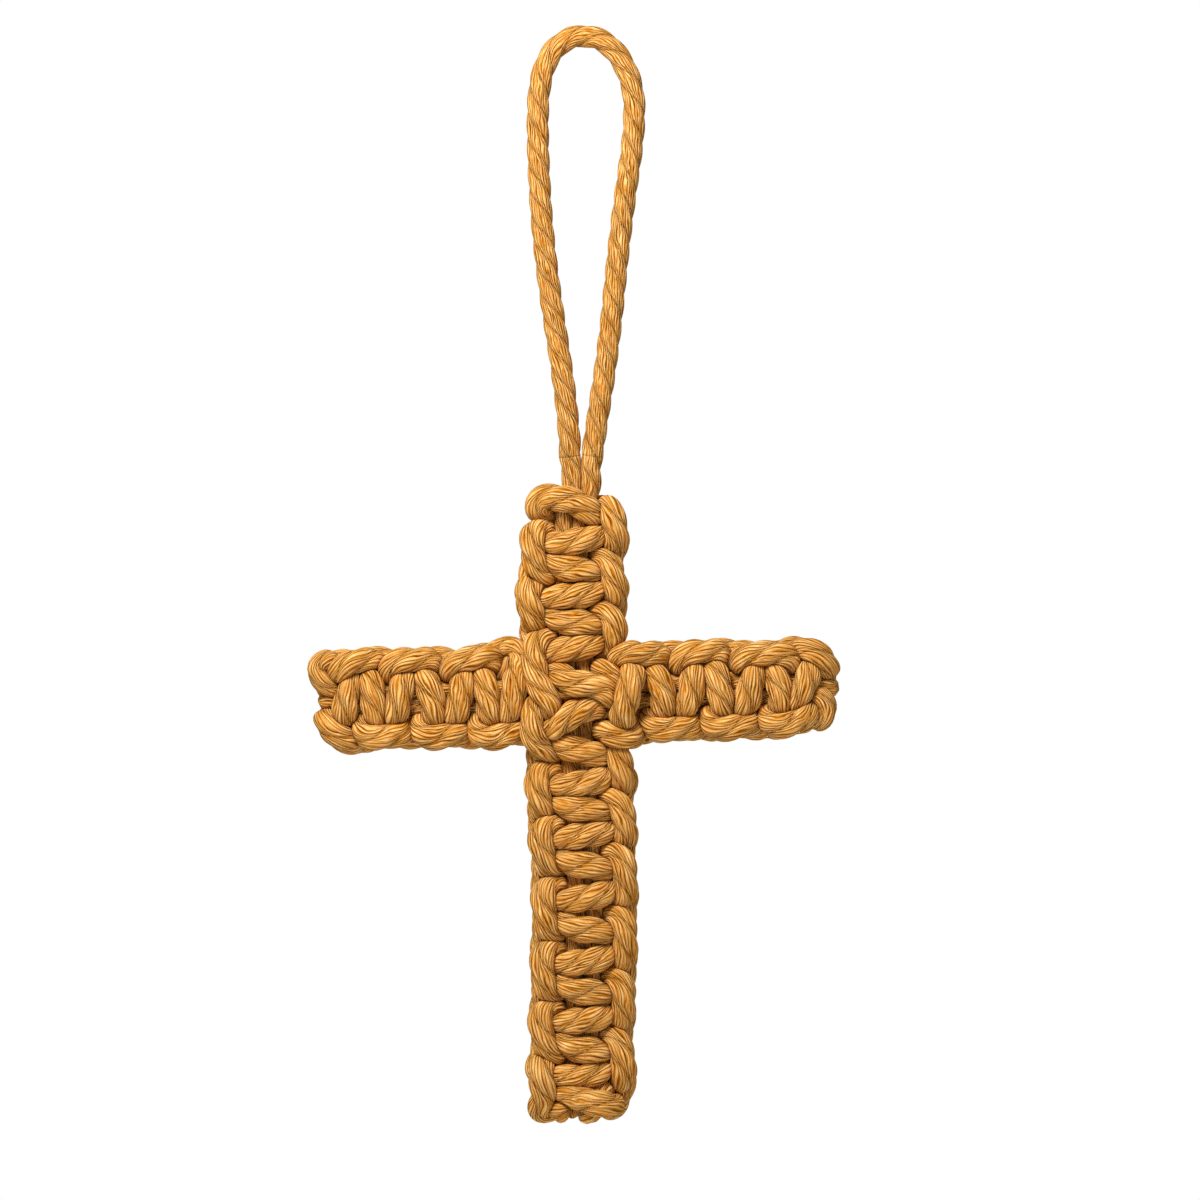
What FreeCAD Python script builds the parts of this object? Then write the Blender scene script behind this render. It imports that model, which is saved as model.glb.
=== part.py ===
# Knotted cord cross with a hanging loop, in millimetres. +Z is up and the front faces -Y.
# The origin is the point of the loop that a peg carries. The upright and the crossbar are
# braids of half knots: two core cords side by side, and one working cord whose two strands
# tie a front bar and a back bar round them in turn.
# A braid has its own directions: across (u), towards the viewer (w) and along the braid (run).
import FreeCAD, Part
import math
import os

SIZES = [
    ("free_cord", 4.0, "diameter of the cord where it hangs free"),
    ("knot_cord", 3.3, "diameter of the working cord, squeezed in the knots"),
    ("core_cord", 3.0, "diameter of the core cords, squeezed in the knots"),
    ("cord_gap", 0.05, "clearance between cords that touch"),
    ("bar_gap", 2.1, "space between two bars of a braid"),
    ("upper_bars", 7, "half knots of the upright above the crossbar"),
    ("lower_bars", 14, "half knots of the upright below the crossbar"),
    ("arm_bars", 7, "half knots of each arm"),
    ("crossing_room", 4.7, "extra space between the two bars beside the crossbar"),
    ("arm_room", 1.7, "space between the upright and the first bar of an arm"),
    ("loop_drop", 87.5, "from the hanging point down to the first bar"),
    ("loop_stem", 9.6, "length of the core cords above the first bar"),
    ("core_tail", 1.9, "length of the core cords past the last bar"),
]

CORD_SIDES = 8

# The free cord's route, across and up from the hanging point, from its left end over the peg to
# its right end. The two ends themselves are worked out from the braid that they go into.
LOOP_ROUTE = [
    (-4.5, -52.0), (-8.8, -19.5), (-7.9, -3.6), (-2.8, 2.1),
    (4.4, 2.0), (9.9, -3.8), (10.2, -19.5), (5.4, -50.0),
]
BEND_SHARE = 0.45

doc = FreeCAD.newDocument("cord_cross")
sheet = doc.addObject("Spreadsheet::Sheet", "sizes")
for row, (alias, value, meaning) in enumerate(SIZES, start=1):
    sheet.set("A%d" % row, meaning)
    sheet.set("B%d" % row, str(value))
    sheet.setAlias("B%d" % row, alias)
doc.recompute()

working = sheet.knot_cord
core = sheet.core_cord
gap = sheet.cord_gap
pitch = working + sheet.bar_gap
half_core = core / 2
upper_bars = int(sheet.upper_bars)
lower_bars = int(sheet.lower_bars)
arm_bars = int(sheet.arm_bars)

# Distances from the braid's middle. A working strand that lies on a core cord has its middle at
# `reach` from the core cord's middle.
reach = (working + core) / 2 + gap
inner_u = half_core + reach
under_u = inner_u + 0.45 * working
outer_u = inner_u + 0.90 * working
bump_u = inner_u + 1.03 * working
side_u = inner_u + 1.14 * working
under_w = 0.65 * working
bump_w = 1.18 * working
side_w = 1.22 * working
past_cores_w = half_core + gap + reach
behind_w = side_w + working + 2 * gap
arm_start = side_u + working + sheet.arm_room


def turned(points):
    """The same route turned half a turn about the braid's middle line, as the other strand has it."""
    return [(-u, -w, run) for u, w, run in points]


def bar_over_core(side, run):
    """The front strand from the outside of one side, over the core cords, to the inside of the other."""
    return [
        (side * outer_u, 0.05 * working, run + 0.03 * pitch),
        (side * (half_core + 0.74 * reach), 1.05 * reach, run + 0.13 * pitch),
        (-side * (half_core + 0.16 * reach), 1.06 * reach, run - 0.08 * pitch),
        (-side * (half_core + 0.92 * reach), 0.62 * reach, run - 0.21 * pitch),
        (-side * (half_core + 1.03 * reach), -0.17 * reach, run - 0.49 * pitch),
        (-side * under_u, -under_w, run - 0.60 * pitch),
    ]


def bump_at_side(side, run):
    """The strand outside the bars, from one half knot to the next."""
    return [
        (-side * bump_u, -bump_w, run - 0.28 * pitch),
        (-side * side_u, -side_w, run + 0.27 * pitch),
    ]


def bump_past_crossbar(side, run, crossing):
    """The same strand where it also goes round the crossbar's core cords."""
    past_u = inner_u + 0.92 * working
    return [
        (-side * (inner_u + 0.8 * working), -1.35 * working, run - 0.28 * pitch),
        (-side * past_u, -past_cores_w, crossing - half_core),
        (-side * past_u, -past_cores_w, crossing + 0.7 * half_core),
    ]


def drawn_in(points, run):
    """The front strand's first bar with its last two points nearer to it, to clear the upright."""
    return points[:4] + [(u, w, run + 0.6 * (along - run)) for u, w, along in points[4:6]] + points[6:]


def side_of(number):
    """Half knots alternate: the front bar starts on the +u side, then on the -u side."""
    return 1 if number % 2 == 0 else -1


def strand(runs, crossing=None, before_crossing=None):
    """The front strand of the half knots at `runs`, up to the inside of its last turn."""
    points = []
    for number, run in enumerate(runs):
        points += bar_over_core(side_of(number), run)
        if number == len(runs) - 1:
            break
        if number == before_crossing:
            points += bump_past_crossbar(side_of(number), run, crossing)
        else:
            points += bump_at_side(side_of(number), run)
    return points


def start_of_cord(run):
    """The middle of a working cord, behind the core cords just before the first bar at `run`."""
    to_front = [
        (bump_u, -0.90 * working, run - 0.64 * pitch),
        (half_core + 0.85 * reach, -0.86 * reach, run - 0.90 * pitch),
    ]
    middle = (0, -reach, run - 0.88 * pitch)
    to_back = [
        (-(half_core + 0.75 * reach), -0.86 * reach, run - 1.10 * pitch),
        (-inner_u - gap, 0, run - 1.22 * pitch),
        (-(inner_u + 0.6 * working), 0.8 * working, run - 1.09 * pitch),
        (-side_u, side_w, run - 0.76 * pitch),
    ]
    return to_front[::-1], middle, to_back


def tail_under_core(side, run):
    """The strand's end, turned in below the ends of the core cords."""
    below = run + sheet.core_tail + working / 2 + 2 * gap
    return [
        (-side * bump_u, -bump_w, run - 0.28 * pitch),
        (-side * side_u, -1.25 * working, run + 0.23 * pitch),
        (-side * (outer_u - gap), -working, below + gap),
        (-side * under_u, -0.45 * working, below + 0.15 * working),
        (-side * (half_core + 0.7 * reach), 0, below + 0.08 * working),
        (-side * (working / 2 + gap), 0, below),
    ]


def tail_round_end(side, run):
    """The strand's end, wrapped round the end of an arm to its other side."""
    past = run + sheet.core_tail + working / 2 + 2 * gap
    return [
        (-side * bump_u, -bump_w, run - 0.28 * pitch),
        (-side * side_u, -1.25 * working, run + 0.23 * pitch),
        (-side * (outer_u - gap), -0.85 * working, past + gap),
        (-side * 0.6 * inner_u, -0.25 * working, past + 0.25 * working),
        (side * 0.55 * inner_u, 0, past + 0.25 * working),
        (side * inner_u, 0, past),
    ]


def tail_behind(side, run):
    """The strand's end, laid across behind the core cords."""
    across = run + sheet.core_tail + 0.45 * working
    return [
        (-side * bump_u, -bump_w, run - 0.28 * pitch),
        (-side * side_u, -1.35 * working, run + 0.20 * pitch),
        (-side * (inner_u + 0.2 * working), -1.65 * working, across - gap),
        (-side * 0.4 * inner_u, -1.55 * working, across + gap),
    ]


def upright_place(point):
    """From the upright's directions to the model's: it runs down from the first bar."""
    u, w, run = point
    return FreeCAD.Vector(u, -w, -sheet.loop_drop - run)


def crossbar_place(point):
    """From the crossbar's directions to the model's: it runs to the right through the crossing."""
    u, w, run = point
    return FreeCAD.Vector(run, -w, -sheet.loop_drop - crossing_run + u)


def sweep(label, spine, section, transition):
    """One cord: its section carried along its spine."""
    cord = doc.addObject("Part::Sweep", label)
    cord.Sections = [section]
    cord.Spine = (spine, ["Edge%d" % (n + 1) for n in range(len(spine.Shape.Edges))])
    cord.Solid = True
    cord.Frenet = False
    cord.Transition = transition
    return cord


def facing(start, towards):
    """A placement at `start` whose own Z looks along `towards`."""
    return FreeCAD.Placement(start, FreeCAD.Rotation(FreeCAD.Vector(0, 0, 1), towards))


def knotted_cord(label, points, size):
    """A plain eight-sided cord through `points`, with mitred turns."""
    spine = doc.addObject("Part::Feature", label + "_spine")
    spine.Shape = Part.makePolygon(points)
    section = doc.addObject("Part::RegularPolygon", label + "_section")
    section.Polygon = CORD_SIDES
    section.setExpression("Circumradius", "sizes.%s / 2" % size)
    section.Placement = facing(points[0], points[1] - points[0])
    doc.recompute()
    return sweep(label, spine, section, "Right corner")


def rounded_wire(points):
    """Straight runs joined by tangent arcs, each as large as its two runs allow."""
    edges = []
    here = points[0]
    for before, corner, after in zip(points, points[1:], points[2:]):
        back = (before - corner).normalize()
        forth = (after - corner).normalize()
        half_turn = (math.pi - back.getAngle(forth)) / 2
        cut = BEND_SHARE * min((before - corner).Length, (after - corner).Length)
        radius = cut / math.tan(half_turn)
        inwards = (back + forth).normalize()
        start = corner + back * cut
        end = corner + forth * cut
        middle = corner + inwards * (radius / math.cos(half_turn) - radius)
        edges.append(Part.LineSegment(here, start).toShape())
        edges.append(Part.Arc(start, middle, end).toShape())
        here = end
        print("loop bend: radius %.1f, turn %.0f degrees" % (radius, math.degrees(2 * half_turn)))
    edges.append(Part.LineSegment(here, points[-1]).toShape())
    return Part.Wire(edges)


def build_hanging_loop():
    """The free part of the upright's core cord, from one core cord's top end to the other's."""
    leg_u = sheet.free_cord / 2 + gap
    foot = -sheet.loop_drop + sheet.loop_stem
    flat = [(-leg_u, foot)] + LOOP_ROUTE + [(leg_u, foot)]
    points = [FreeCAD.Vector(x, 0, z) for x, z in flat]
    spine = doc.addObject("Part::Feature", "hanging_loop_spine")
    spine.Shape = rounded_wire(points)
    section = doc.addObject("Part::Circle", "hanging_loop_section")
    section.setExpression("Radius", "sizes.free_cord / 2")
    section.Placement = facing(points[0], points[1] - points[0])
    doc.recompute()
    loop = sweep("hanging_loop", spine, section, "Transformed")
    doc.recompute()
    expected = math.pi * sheet.free_cord ** 2 / 4 * spine.Shape.Length
    print("loop volume %.1f, its section carried along it %.1f" % (loop.Shape.Volume, expected))
    return loop


def upright_core_route(side):
    """One core cord of the upright, from its end of the loop, in the same direction, and then down to
    the foot."""
    leg_u, leg_z = LOOP_ROUTE[-1 if side > 0 else 0]
    end_u = side * (sheet.free_cord / 2 + gap)
    leg_length = -sheet.loop_stem + sheet.loop_drop + leg_z
    lean = (end_u - leg_u) / leg_length
    middle_u = half_core + gap / 2
    return [
        (end_u, 0, -sheet.loop_stem),
        (end_u + lean * half_core / 2, 0, -sheet.loop_stem + half_core / 2),
        (side * middle_u, 0, -sheet.loop_stem + 2 * half_core),
        (side * middle_u, 0, upright_runs[-1] + sheet.core_tail),
    ]


def crossbar_core_route(side):
    """One core cord of the crossbar. It lies above or below its twin in the arms, and in front of
    or behind both the twin and the upright's core cords at the crossing."""
    offset = half_core + gap / 2
    beside = side_u
    past = arm_start - working / 2
    between = (beside + past) / 2
    half_way = []
    for direction in (-1, 1):
        half_way.append([
            (0, side * (core + gap), direction * 1.5 * half_core),
            (0, side * offset, direction * (core + half_core)),
            (0, side * offset, direction * beside),
            (side * 0.8 * offset, side * 0.8 * offset, direction * between),
            (side * offset, 0, direction * past),
            (side * offset, 0, direction * (arm_runs[-1] + core_tails[direction])),
        ])
    left, right = half_way
    return left[::-1] + right


bars = upper_bars + lower_bars
upright_runs = [
    number * pitch + (sheet.crossing_room if number >= upper_bars else 0) for number in range(bars)
]
# The crossbar passes midway between the last turn above it and the first turn below it.
crossing_run = (upright_runs[upper_bars - 1] + upright_runs[upper_bars]) / 2 - 0.245 * pitch
arm_runs = [arm_start + number * pitch for number in range(arm_bars)]
# The core cords' ends stay inside the start of the cord on the left and inside the wrap on the right.
core_tails = {-1: 0.75 * pitch + working / 2, 1: sheet.core_tail}


def build_upright_knotting_cord():
    """The working cord of the upright, from one tail through its middle to the other."""
    last_side = side_of(bars - 1)
    front = strand(upright_runs, crossing_run, upper_bars - 1)
    to_front, middle, to_back = start_of_cord(upright_runs[0])
    tail = tail_under_core(last_side, upright_runs[-1])
    first_half = to_front + front + tail
    second_half = to_back + turned(front + tail)
    route = first_half[::-1] + [middle] + second_half
    return knotted_cord("upright_knotting_cord", [upright_place(point) for point in route], "knot_cord")


def build_crossbar_knotting_cord():
    """The working cord of the crossbar. It starts with its middle behind the left end, ties the left
    arm, passes behind the upright and ties the right arm, where one tail wraps round the end."""
    left_runs = [-run for run in reversed(arm_runs)]
    last = left_runs[-1]
    first = arm_runs[0]
    side = side_of(arm_bars - 1)
    to_front, middle, to_back = start_of_cord(left_runs[0])
    left_front = strand(left_runs)
    left_back = turned(left_front)

    # Both strands leave the last bar of the left arm towards the back, pass behind the upright and
    # come round to the first bar of the right arm.
    front_leaves = [(-side * (under_u + 0.25 * working), -1.5 * working, last - 0.48 * pitch)]
    back_leaves = [(side * inner_u, -1.5 * working, last - 0.08 * pitch)]
    lower_pass = [
        (-side * under_u, -behind_w, last + 0.15 * pitch),
        (-side * under_u, -behind_w, first - 0.35 * pitch),
    ]
    upper_pass = [
        (side * (under_u + 0.2 * working), -behind_w, last + 0.24 * pitch),
        (side * (under_u + 0.2 * working), -behind_w, first - 0.50 * pitch),
    ]
    front_arrives = [
        (outer_u, -2.1 * working, first - 0.26 * pitch),
        (side_u + 0.25 * working, -1.3 * working, first - 0.22 * pitch),
    ]
    back_arrives = [(-(inner_u + 0.25 * working), -1.7 * working, first + 0.05 * pitch)]

    # The strand that arrives on the +u side ties the front bars of the right arm.
    right_front = drawn_in(strand(arm_runs), first)
    right_back = turned(strand(arm_runs))
    end_side = side_of(arm_bars - 1)
    wrap = turned(tail_round_end(end_side, arm_runs[-1]))
    tuck = tail_behind(end_side, arm_runs[-1])

    if side == side_of(0):
        first_half = front_leaves + lower_pass + back_arrives + right_back[1:] + wrap
        second_half = back_leaves + upper_pass + front_arrives + right_front + tuck
    else:
        first_half = front_leaves + lower_pass + front_arrives + right_front + tuck
        second_half = back_leaves + upper_pass + back_arrives + right_back[1:] + wrap
    first_half = to_front + left_front + first_half
    second_half = to_back + left_back[:-3] + second_half
    route = first_half[::-1] + [middle] + second_half
    return knotted_cord("crossbar_knotting_cord", [crossbar_place(point) for point in route], "knot_cord")


def build_core_cords():
    """The four core cords, two in the upright and two in the crossbar."""
    cords = []
    for label, side in (("upright_core_left", -1), ("upright_core_right", 1)):
        points = [upright_place(point) for point in upright_core_route(side)]
        cords.append(knotted_cord(label, points, "core_cord"))
    for label, side in (("crossbar_core_upper", 1), ("crossbar_core_lower", -1)):
        points = [crossbar_place(point) for point in crossbar_core_route(side)]
        cords.append(knotted_cord(label, points, "core_cord"))
    return cords


def check(cords):
    """Stops if any object failed or any cord isn't one valid solid."""
    for item in doc.Objects:
        if "Invalid" in item.State or "Error" in item.State:
            raise RuntimeError("%s did not compute" % item.Label)
    for cord in cords:
        shape = cord.Shape
        if shape.isNull() or not shape.isValid() or len(shape.Solids) != 1:
            raise RuntimeError("%s is not one valid solid" % cord.Label)


cords = [build_hanging_loop(), build_upright_knotting_cord(), build_crossbar_knotting_cord()]
cords += build_core_cords()
doc.recompute()
check(cords)
os.makedirs("parts", exist_ok=True)
for cord in cords:
    cord.Shape.exportStep("parts/%s.step" % cord.Label)
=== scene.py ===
# The knotted cord cross as it looks: three-ply cotton cord, pressed together in the knots.
# Lengths are millimetres until a mesh is made. Across (u), towards the viewer (w) and along the
# braid are a braid's own directions, as in the part's source.
import math
import bpy
import numpy as np
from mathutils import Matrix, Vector


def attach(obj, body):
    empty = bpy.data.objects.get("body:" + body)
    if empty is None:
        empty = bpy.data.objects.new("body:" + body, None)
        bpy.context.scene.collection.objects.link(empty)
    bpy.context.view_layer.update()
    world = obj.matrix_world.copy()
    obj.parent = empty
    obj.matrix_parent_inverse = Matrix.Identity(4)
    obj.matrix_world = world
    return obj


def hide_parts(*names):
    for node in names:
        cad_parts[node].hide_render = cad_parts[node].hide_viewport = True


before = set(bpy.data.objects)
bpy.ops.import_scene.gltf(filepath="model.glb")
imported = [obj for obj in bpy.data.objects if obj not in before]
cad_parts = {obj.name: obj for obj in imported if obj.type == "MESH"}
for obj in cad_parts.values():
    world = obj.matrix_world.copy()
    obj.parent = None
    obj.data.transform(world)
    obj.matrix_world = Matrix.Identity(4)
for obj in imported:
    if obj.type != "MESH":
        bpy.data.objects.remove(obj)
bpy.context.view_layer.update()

MM = 0.001
FULL_TURN = 2 * math.pi

# What is divided by is never less than this.
TINY = 1e-6

# The photo's size and scale, and the pixel where the peg would carry the loop.
PHOTO_SIDE = 1200
PIXEL = 0.19
ORIGIN_PX = (581.0, 47.5)

# Cord sizes. A cord keeps its section when it is pressed, so it is wider than the space between
# two pressed cords. The loop's cord isn't pressed at all and swells a little.
FREE_RADIUS = 2.0
WORKING_RADIUS = 2.8
CORE_RADIUS = 2.2
PRESSED = 3.05
CORE_SPACING = 1.5
LOOSE = 1.10

# The twist: three plies with grooves between them, which go round once in a lay, and the number of
# yarns round a cord. A cord's own ends are rounded over a short stretch.
PLIES = 3
LAY = 14.5
PLY_DEPTH = 0.34
LOOP_PLY_DEPTH = 0.27
YARNS = 21
SOFT_END = 2.0
END_CAP = 0.02

# How finely the cords are made: steps from one point of a route to the next, sides round a cord,
# the distance from one ring to the next, and, for the loop, the resolution of its spline and the
# distance between the points of its path.
SPLINE_STEPS = 12
KNOTTING_SIDES = 36
CORE_SIDES = 30
LOOP_SIDES = 40
ROPE_STEP = 0.5
LOOP_STEP = 0.45
LOOP_RESOLUTION = 24
PATH_STEP = 2.0

# How the weave settles. In each round a cord is straightened, drawn back to where it started by its
# share along X, Y and Z, and pushed off what is too near. Which points may touch is looked up anew
# every few rounds, in blocks, without the next neighbours on the same cord. A point that several
# others push goes less far than all of them together, and its count starts just above none.
SETTLING = 160
LINE_STEP = 1.0
STRAIGHTENING = 0.34
UPRIGHT_HELD = (0.015, 0.015, 0.06)
CROSSBAR_HELD = (0.06, 0.015, 0.015)
CORE_EASE = 0.05
PUSHES = 2
PUSH_POWER = 0.75
COUNT_START = 1e-9
LOOK_EVERY = 12
LOOK_BEYOND = 1.2
NEIGHBOURS = 5
BLOCK = 400

# How the surfaces are pressed flat on each other: the gap that stays between them, the step at which
# a cord meets its own line and the stretch of it that is left out, how many radii off a cord is
# still looked at, how near a cut may come, how squarely a side has to face it, the radius where
# nothing cuts, and how often edges are softened, by how much, and how far they may then stand out.
CONTACT_GAP = 0.03
OWN_STEP = 0.8
OWN_SKIP = 4.6
RADII_OFF = 2.2
NEAREST = 0.3
LEAST_FACING = 0.1
UNCUT = 99.0
SOFTENINGS = 2
AROUND_SHARE = 0.4
EDGE_STANDS_OUT = 0.08

# The cotton's colours from shadow to light, and the shader's own values.
CORD_SHADES = [
    (0.05, (0.19, 0.042, 0.001)),
    (0.40, (0.52, 0.190, 0.011)),
    (0.90, (0.94, 0.56, 0.20)),
]
COTTON = {
    "Roughness": 0.88,
    "Subsurface Weight": 0.30,
    "Subsurface Scale": 0.001,
    "Subsurface Radius": (1.0, 0.30, 0.04),
    "Specular IOR Level": 0.02,
    "Sheen Weight": 0.02,
    "Sheen Roughness": 0.5,
    "Sheen Tint": (1.0, 0.75, 0.40, 1.0),
}

# Noise that is drawn out along the yarns: how fine it is across and along, where it starts, and how
# much detail it has.
WANDER_NOISE = (0.35, 0.13, 0.0, 2.0)
STREAK_NOISE = (1.4, 0.19, 0.0, 3.0)
FIBRE_NOISE = (3.6, 0.5, 7.0, 2.0)
PATCH_NOISE = (0.30, 0.20, 3.0, 2.0)

# How the yarns lie in a ply: how strongly they crowd at its sides, how far they wander, how narrow
# the dips between them are, how deep those are at least and at most, and where the painted shade in
# the groove between two plies starts and how fast it darkens.
CROWDING = 1.5
CROWDING_POWER = 3.0
WANDER = 2.6
DIP_POWER = 2.2
DIP_LEAST = 0.15
DIP_VARIES = 1.4
GROOVE_START = 0.43
GROOVE_GAIN = 12.0

# What each of them adds to the bump's height and to the shade, which starts from a middle tone.
# The dips between yarns and the grooves between plies take painted shade off it.
BUMP_HEIGHT = 0.00034
STREAK_HEIGHT = 1.3
FIBRE_HEIGHT = 0.5
MIDDLE_SHADE = 0.67
STREAK_SHADE = 1.15
FIBRE_SHADE = 1.3
PAINTED_DIP_SHADE = 0.50
PAINTED_GROOVE_SHADE = 0.30

# Light, stage and camera, in metres. A light has its name, place, size and power.
AMBIENT = 0.35
LIGHTS_AIM = (0.0, 0.0, -0.12)
LIGHTS = [
    ("key", (-0.12, -0.28, 0.17), 0.16, 2.35),
    ("fill", (0.6, -0.8, -0.1), 0.6, 0.5),
]
FLOOR = -0.30
FLOOR_SIDE = 1.1
FLOOR_COLOUR = (0.86, 0.86, 0.86, 1.0)
FLOOR_ROUGHNESS = 0.9
WHITE = (1.0, 1.0, 1.0, 1.0)
CAMERA_DISTANCE = 0.9
SENSOR = 36.0
CLIP_START = 0.01
CLIP_END = 20.0

# Where the photo shows the bars, in pixels down the upright and across the arms.
UPRIGHT_BARS = [
    512, 543, 569, 596, 622.5, 647, 685, 712, 750, 784, 808,
    834, 864, 897, 928, 961, 990, 1019, 1048, 1076, 1099,
]
LEFT_BARS = [347, 374, 399, 433, 461, 488, 513]
RIGHT_BARS = [631, 662, 691, 719, 750, 780, 805]
CROSSING_PX = 698.5

# How the braids' middle lines wander, in pixels, and how wide the braids are against the rule.
UPRIGHT_MIDDLE = [
    (480, 576), (530, 572), (600, 572), (680, 576),
    (770, 580), (900, 585), (1000, 583), (1120, 580),
]
UPRIGHT_WIDTH = [
    (500, 1.0), (560, 1.04), (640, 1.03), (700, 1.0),
    (770, 1.06), (950, 1.06), (1050, 1.0), (1110, 1.0),
]
CROSSBAR_MIDDLE = [(300, 700), (430, 698), (580, 696), (640, 692), (740, 689), (840, 687)]
ARM_TIGHTNESS = 0.94

# The free cord's route, in metres. It is the route of the part's source, moved by less than a
# millimetre to where the photo shows the loop, with three points more.
HALF_GAP = 0.00005
LEG = FREE_RADIUS * MM + HALF_GAP
LOOP_FOOT = -0.0779
LOOP_ROUTE = [
    (-LEG, 0, LOOP_FOOT),
    (-0.0022, 0, -0.0700), (-0.0070, 0, -0.0400), (-0.0083, 0, -0.0200), (-0.0081, 0, -0.0050),
    (-0.0036, 0, 0.0020), (0.0038, 0, 0.0023), (0.0089, 0, -0.0036), (0.0107, 0, -0.0125),
    (0.0075, 0, -0.0340), (0.0054, 0, -0.0560), (0.0029, 0, -0.0720),
    (LEG, 0, LOOP_FOOT),
]

# Distances from a braid's middle line.
INNER = CORE_SPACING + PRESSED
UNDER = INNER + 0.45 * PRESSED
OUTER = INNER + 0.80 * PRESSED
BUMP = INNER + 0.95 * PRESSED
SIDE = INNER + 1.02 * PRESSED

# One half knot by the rule, for a front strand that starts on the +u side (1) or on the -u side (-1)
# and is mirrored there: how far across, how far towards the viewer, and how many bars on. The strand
# comes in, goes over the core and goes under, and then lies outside the bars up to the next half
# knot. From the -u side it comes in from further out and goes under less deep, so that those bumps
# lie slanting.
COME_IN = {
    1: (INNER + 0.30 * PRESSED, -0.55 * PRESSED, 0.30),
    -1: (OUTER, 0.05 * PRESSED, 0.03),
}
OVER_CORE = [
    (CORE_SPACING + 0.74 * PRESSED, 0.95 * PRESSED, 0.12),
    (-(CORE_SPACING + 0.16 * PRESSED), 1.04 * PRESSED, -0.06),
    (-(CORE_SPACING + 0.92 * PRESSED), 0.62 * PRESSED, -0.20),
    (-(INNER + 0.03 * PRESSED), -0.16 * PRESSED, -0.42),
]
GO_UNDER = {
    1: (-UNDER, -0.65 * PRESSED, -0.52),
    -1: (-(UNDER + 0.8), -0.15 * PRESSED, -0.50),
}
OUTSIDE = {
    1: [
        (-BUMP, -1.05 * PRESSED, -0.26),
        (-SIDE, -1.10 * PRESSED, 0.27),
    ],
    -1: [
        (-(BUMP + 0.1), -0.95 * PRESSED, -0.08),
        (-SIDE, -1.12 * PRESSED, 0.38),
        (-(SIDE - 0.45 * PRESSED), -1.10 * PRESSED, 0.95),
    ],
}

# From here on, points given where the photo shows a cord off the rule, as (x, y, w): two
# pixel coordinates, and millimetres towards the viewer. Bars and bumps go by their number. A bar's
# points stand for so many of the rule's first ones, and a bump's for all.

# The upright's cord. Its middle is the first bar. Both halves then cross behind the core: one comes
# out on the right for the first bump, and the other on the left for the second bar.
FIRST_BAR = [(577, 502, 1.06 * PRESSED)]
TO_FIRST_BUMP = [
    (555, 497, PRESSED), (537, 497, 2.5), (527, 505, 2.2), (534, 517, 1.5), (550, 521, -0.8),
    (562, 518, -2.9), (588, 515, -2.9), (601, 515, -0.8), (603, 510, 2.4),
]
TO_SECOND_BAR = [
    (592, 510, 2.8), (603, 519, 0.9), (609, 526, -1.2),
    (600, 530, -2.9), (558, 531, -2.9), (546, 536, -1.8),
]
UPRIGHT_FRONT_BARS = {
    6: (4, [(616, 691, 0.4), (604, 687, 3.9), (572, 684, 5.4), (556, 682, 3.6)]),
    7: (4, [(539, 722, 0.3), (552, 721, 4.2), (578, 711, 5.6), (601, 700, 4.2)]),
}
UPRIGHT_BACK_BARS = {
    6: (2, [(546, 694, 4.6), (550, 705, 1.6), (554, 706, -1.6), (563, 698, -3.1)]),
}
UPRIGHT_BACK_BUMPS = {
    0: [(609, 508, 4.2), (613, 523, 3.6)],
    1: [(538, 544, 2.9), (534, 557, 3.4), (539, 570, 3.3)],
    5: [(533, 652, 3.0), (530, 666, 3.5), (536, 682, 4.6)],
    6: [(607, 672, 4.2), (617, 684, 3.2), (620, 700, 0.8)],
    8: [(612, 745, 3.3), (619, 760, 3.4)],
    17: [(540, 1022, 3.0), (541, 1036, 3.3), (552, 1054, 3.2)],
    18: [(620, 1041, 3.2), (627, 1056, 3.4), (621, 1075, 2.6)],
    19: [(552, 1074, 3.0), (553, 1089, 3.3), (558, 1102, 2.6)],
}
LEFT_TAIL = [(546, 1091, -3.2), (550, 1097, -2.4), (554, 1105, -0.2), (561, 1109, 1.2), (572, 1108, 1.2)]
RIGHT_TAIL = [(604, 1085, 1.4), (603, 1095, 1.7), (598, 1105, 1.5), (590, 1111, 1.3), (579, 1111, 1.2)]

# The first front bar below the crossing goes under as a bar from the other side does.
BAR_BELOW_CROSSING = 7

# The crossbar's cord. Its middle lies behind the left end.
BEHIND_LEFT_END = [(333, 690, -PRESSED)]
TO_LEFT_FRONT = [(327, 676, -2.8), (332, 663, -1.8)]
TO_LEFT_BACK = [(341, 706, -2.9), (338, 715, -1.5), (338, 719, 0.9), (344, 727, 2.6), (352, 735, 2.2)]
LEFT_BACK_BARS = {0: (1, [(354, 737, -0.4)])}

# The strand that ends the left arm below passes behind the upright's core under the eighth bar and
# comes out over the upright's right side. The other passes behind the whole upright.
THROUGH_UPRIGHT = [
    (527, 733, -2.0), (551, 731, -3.0), (584, 731, -3.0), (601, 731, -0.8),
    (607, 732, 2.6), (618, 733, 4.2), (632, 732, 2.6),
]
BEHIND_UPRIGHT = [(528, 668, -5.6), (560, 664, -7.6), (596, 664, -7.6), (618, 660, -5.0), (629, 660, -2.2)]

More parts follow.
